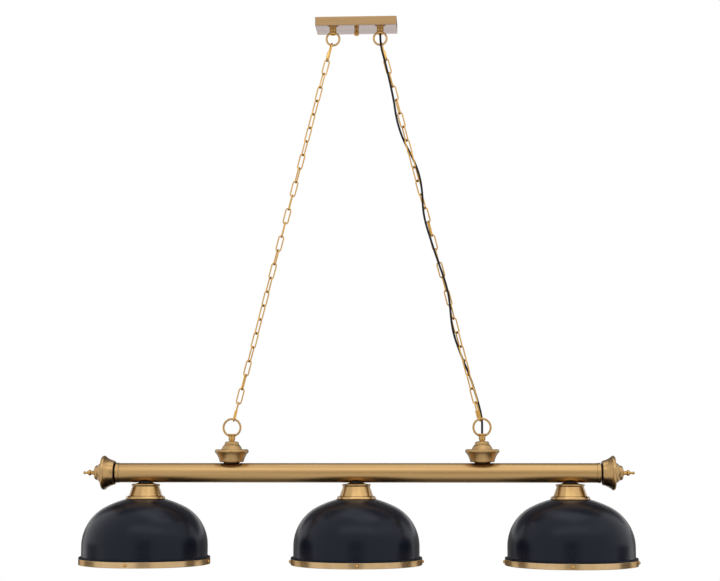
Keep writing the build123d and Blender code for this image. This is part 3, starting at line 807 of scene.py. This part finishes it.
# Shades: deep domes spun from steel sheet with a rolled lip, sprayed satin black with a slight blue cast that
# lies rougher on the lip. Each crown is clamped under its holder by a washer and a nut on the stem.
shade_r = 164.6
shade_wall = 1.2
skirt_z = -122.1
knee_r = 100.5
knee_z = -19.1
lip_drop = 0.1516
dome_in = shade_r - knee_r
dome_rise = knee_z - skirt_z
dome_r = (dome_in**2 + dome_rise**2) / (2 * dome_in)
knee = math.degrees(math.asin(dome_rise / dome_r))
outside = circle_arc((shade_r - dome_r, skirt_z), dome_r, 0, knee, 28)
inside = circle_arc((shade_r - dome_r, skirt_z), dome_r - shade_wall, 0, knee, 28)
crown = [*arc((knee_r, knee_z), (50.0, 0.0), -1.3, 10), (50.0, 0.0)]
shade = turned("shade", [
    (shade_r - shade_wall, -167.9), (shade_r, -167.9), (shade_r, -153.6), (169.8, -153.6), (171.0, -153.1),
    (171.5, -151.8), (171.2, -150.5), (170.0, -149.7), (165.3, -149.6), (164.8, -149.4), (shade_r, -148.9),
    *outside, *crown, (4.9, 0), (4.9, -shade_wall), *[(r, z - shade_wall) for r, z in crown[::-1]],
    *inside[::-1], (shade_r - shade_wall, -167.9),
], 160)
apply_all(shade)
shade_black, shader, place = finish(
    "shade_black", Specular_IOR_Level=0.24, Specular_Tint=(0.82, 0.86, 1.0, 1)
)
peel = place.noise(420, 2)
speck = place.noise(2600, 2).between(0.62, 0.75)
height = place.make("ShaderNodeSeparateXYZ", {}, {0: place}, out=2)
lip = 1 - height.math("ABSOLUTE", height - (shade_top - lip_drop)).between(0.0021, 0.0028)
wear(
    shader,
    Base_Color=speck.colours((0.0064, 0.0082, 0.0166, 1), (0.015, 0.017, 0.026, 1)),
    Roughness=0.23 + peel * 0.06 + lip * 0.45,
    Normal=peel.bump(0.05, 0.0004),
)
for side, x in shade_places:
    piece = copied(shade, f"dome_{side}", Matrix.Translation((x, 0, shade_top)))
    stands_for(piece, shade_black, f"shade_{side}")
bpy.data.objects.remove(shade)

# Bands: polished brass angle rings under the lips, each held by four ball-headed screws that go through the
# band and the shade's skirt.
band_height = 15.5
screw_count = 4
band = turned("band", [
    (164.8, 0), (170.9, 0), (171.5, -0.6), (171.5, -14.6), (171.0, -band_height), (170.1, -band_height),
    (170.1, -1.4), (164.8, -1.4), (164.8, 0),
], 160)
rounded(band, 0.0003)
screw = turned("screw", [
    (0, 160.4), (2.0, 160.4), (2.0, 171.5), (4.0, 171.5), (4.4, 171.9), (4.4, 172.8), (4.0, 174.2),
    (3.1, 175.3), (1.8, 175.9), (0, 176.1),
], 32)
apply_all(screw)
band_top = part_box("shade_band_centre")[1].z
screw_z = band_top - band_height / 2000
outward = Matrix.Rotation(math.pi / 2, 4, "Y")
for (side, x), turn in zip(shade_places, (-5.5, 3.5, -4.0)):
    material = brass(
        f"band_brass_{side}", grain_round(2, 0.1, x, 0, 0), (0.66, 0.455, 0.240, 1), (0.46, 0.305, 0.145, 1),
        0.15, lacquer=0.12, edge=(0.70, 0.55, 0.42, 1),
    )
    piece = copied(band, f"rim_band_{side}", Matrix.Translation((x, 0, band_top)))
    stands_for(piece, material, f"shade_band_{side}")
    for step in range(screw_count):
        spoke = Matrix.Rotation(math.radians(turn - 90 + step * 360 / screw_count), 4, "Z") @ outward
        piece = copied(screw, f"band_screw_{side}_{step}", Matrix.Translation((x, 0, screw_z)) @ spoke)
        stands_for(piece, cast_brass, "band_screws")
bpy.data.objects.remove(band)
bpy.data.objects.remove(screw)

# Lampholders: black phenolic mouldings under the shades with a pressed brass screw shell. They hang on the
# lower ends of the stems.
phenolic, shader, place = finish("phenolic", Specular_IOR_Level=0.5)
swirl = place.noise(160, 4)
wear(
    shader,
    Base_Color=swirl.colours((0.012, 0.011, 0.010, 1), (0.030, 0.026, 0.023, 1)),
    Roughness=0.30 + swirl * 0.15,
    Normal=swirl.bump(0.05, 0.0003),
)
coat(phenolic, "lampholder_left", "lampholder_centre", "lampholder_right")
coat(cast_brass, "screw_shells")

# Studio: a pale floor well below the light, soft lamps in front and above, a white background, and cards
# all round the light and behind the lens, which the brass and the black shades mirror. The cards are
# hidden from the camera.
bpy.ops.object.select_all(action="DESELECT")
bpy.ops.mesh.primitive_plane_add(size=12, location=(0, 0, -3.3))
floor = bpy.context.object
floor.name = "studio_floor"
paper, shader, place = finish("studio_paper", Roughness=0.9)
shader.inputs["Base Color"].default_value = (0.85, 0.85, 0.85, 1)
rays = place.tree.nodes.new("ShaderNodeLightPath")
seen = Mix(place.tree, rays.outputs["Is Camera Ray"]) + Mix(place.tree, rays.outputs["Is Transmission Ray"])
mirrored = Mix(place.tree, rays.outputs["Is Glossy Ray"])
glow = place.make("ShaderNodeEmission", {}, {"Color": (1, 1, 1, 1), "Strength": 1.0})
lit = Mix(place.tree, shader.outputs[0])
mixed = place.make("ShaderNodeMixShader", {}, {0: seen * 0.8 + mirrored * 0.85, 1: lit, 2: glow})
place.tree.links.new(mixed.socket, place.tree.nodes["Material Output"].inputs["Surface"])
floor.data.materials.append(paper)

for name, spot, turn, size, tone, shadow in (
    ("card_back", (0, 2.6, 0.6), (math.pi / 2, 0, 0), (6.0, 2.2), 0.25, True),
    ("card_ceiling", (0, 1.7, 2.4), (0, 0, 0), (6.0, 2.2), 0.45, True),
    ("card_low", (0, 2.6, -1.7), (math.pi / 2, 0, 0), (6.0, 1.4), 0.40, True),
    ("card_left", (-3.0, 0.4, -1.85), (math.pi / 2, 0, math.pi / 2), (1.4, 1.1), 0.55, True),
    ("card_right", (3.0, 0.4, -1.85), (math.pi / 2, 0, math.pi / 2), (1.4, 1.1), 0.35, True),
    ("card_below", (0, 0.52, -2.2), (0, 0, 0), (3.4, 1.88), 0.32, False),
    ("card_lens", (0.2, -4.6, -0.9), (math.pi / 2, 0, 0), (2.0, 2.2), 0.72, True),
):
    bpy.ops.mesh.primitive_plane_add(size=1, location=spot, rotation=turn)
    panel = bpy.context.object
    panel.name = name
    panel.scale = (size[0], size[1], 1)
    panel.visible_camera = False
    panel.visible_shadow = shadow
    card, shader, place = finish(name, Roughness=0.9)
    shader.inputs["Base Color"].default_value = (tone, tone * 0.97, tone * 0.94, 1)
    panel.data.materials.append(card)

for name, spot, aim, size, power in (
    ("softbox_front", (0.1, -2.3, 1.25), (0, 0, -1.1), (3.6, 1.2), 12),
    ("softbox_right", (2.4, -1.4, 0.9), (0.2, 0, -1.3), (2.4, 1.4), 4),
    ("softbox_top", (0.2, 0.2, 1.9), (0, 0, -1.0), (3.0, 1.6), 12),
):
    bpy.ops.object.light_add(type="AREA", location=spot)
    lamp = bpy.context.object
    lamp.name = name
    lamp.data.shape = "RECTANGLE"
    lamp.data.size, lamp.data.size_y = size
    lamp.data.energy = power
    lamp.rotation_euler = (Vector(aim) - Vector(spot)).to_track_quat("-Z", "Y").to_euler()

world = bpy.data.worlds.new("studio_world")
bpy.context.scene.world = world
world.use_nodes = True
tree = world.node_tree
rays = tree.nodes.new("ShaderNodeLightPath")
seen = Mix(tree, rays.outputs["Is Camera Ray"]) + Mix(tree, rays.outputs["Is Glossy Ray"])
seen = seen + Mix(tree, rays.outputs["Is Transmission Ray"])
tree.nodes["Background"].inputs["Color"].default_value = (1, 1, 1, 1)
strength = seen.math("MINIMUM", seen, 1.0) * 0.4 + 0.6
tree.links.new(strength.socket, tree.nodes["Background"].inputs["Strength"])
bpy.context.scene.view_settings.view_transform = "Standard"
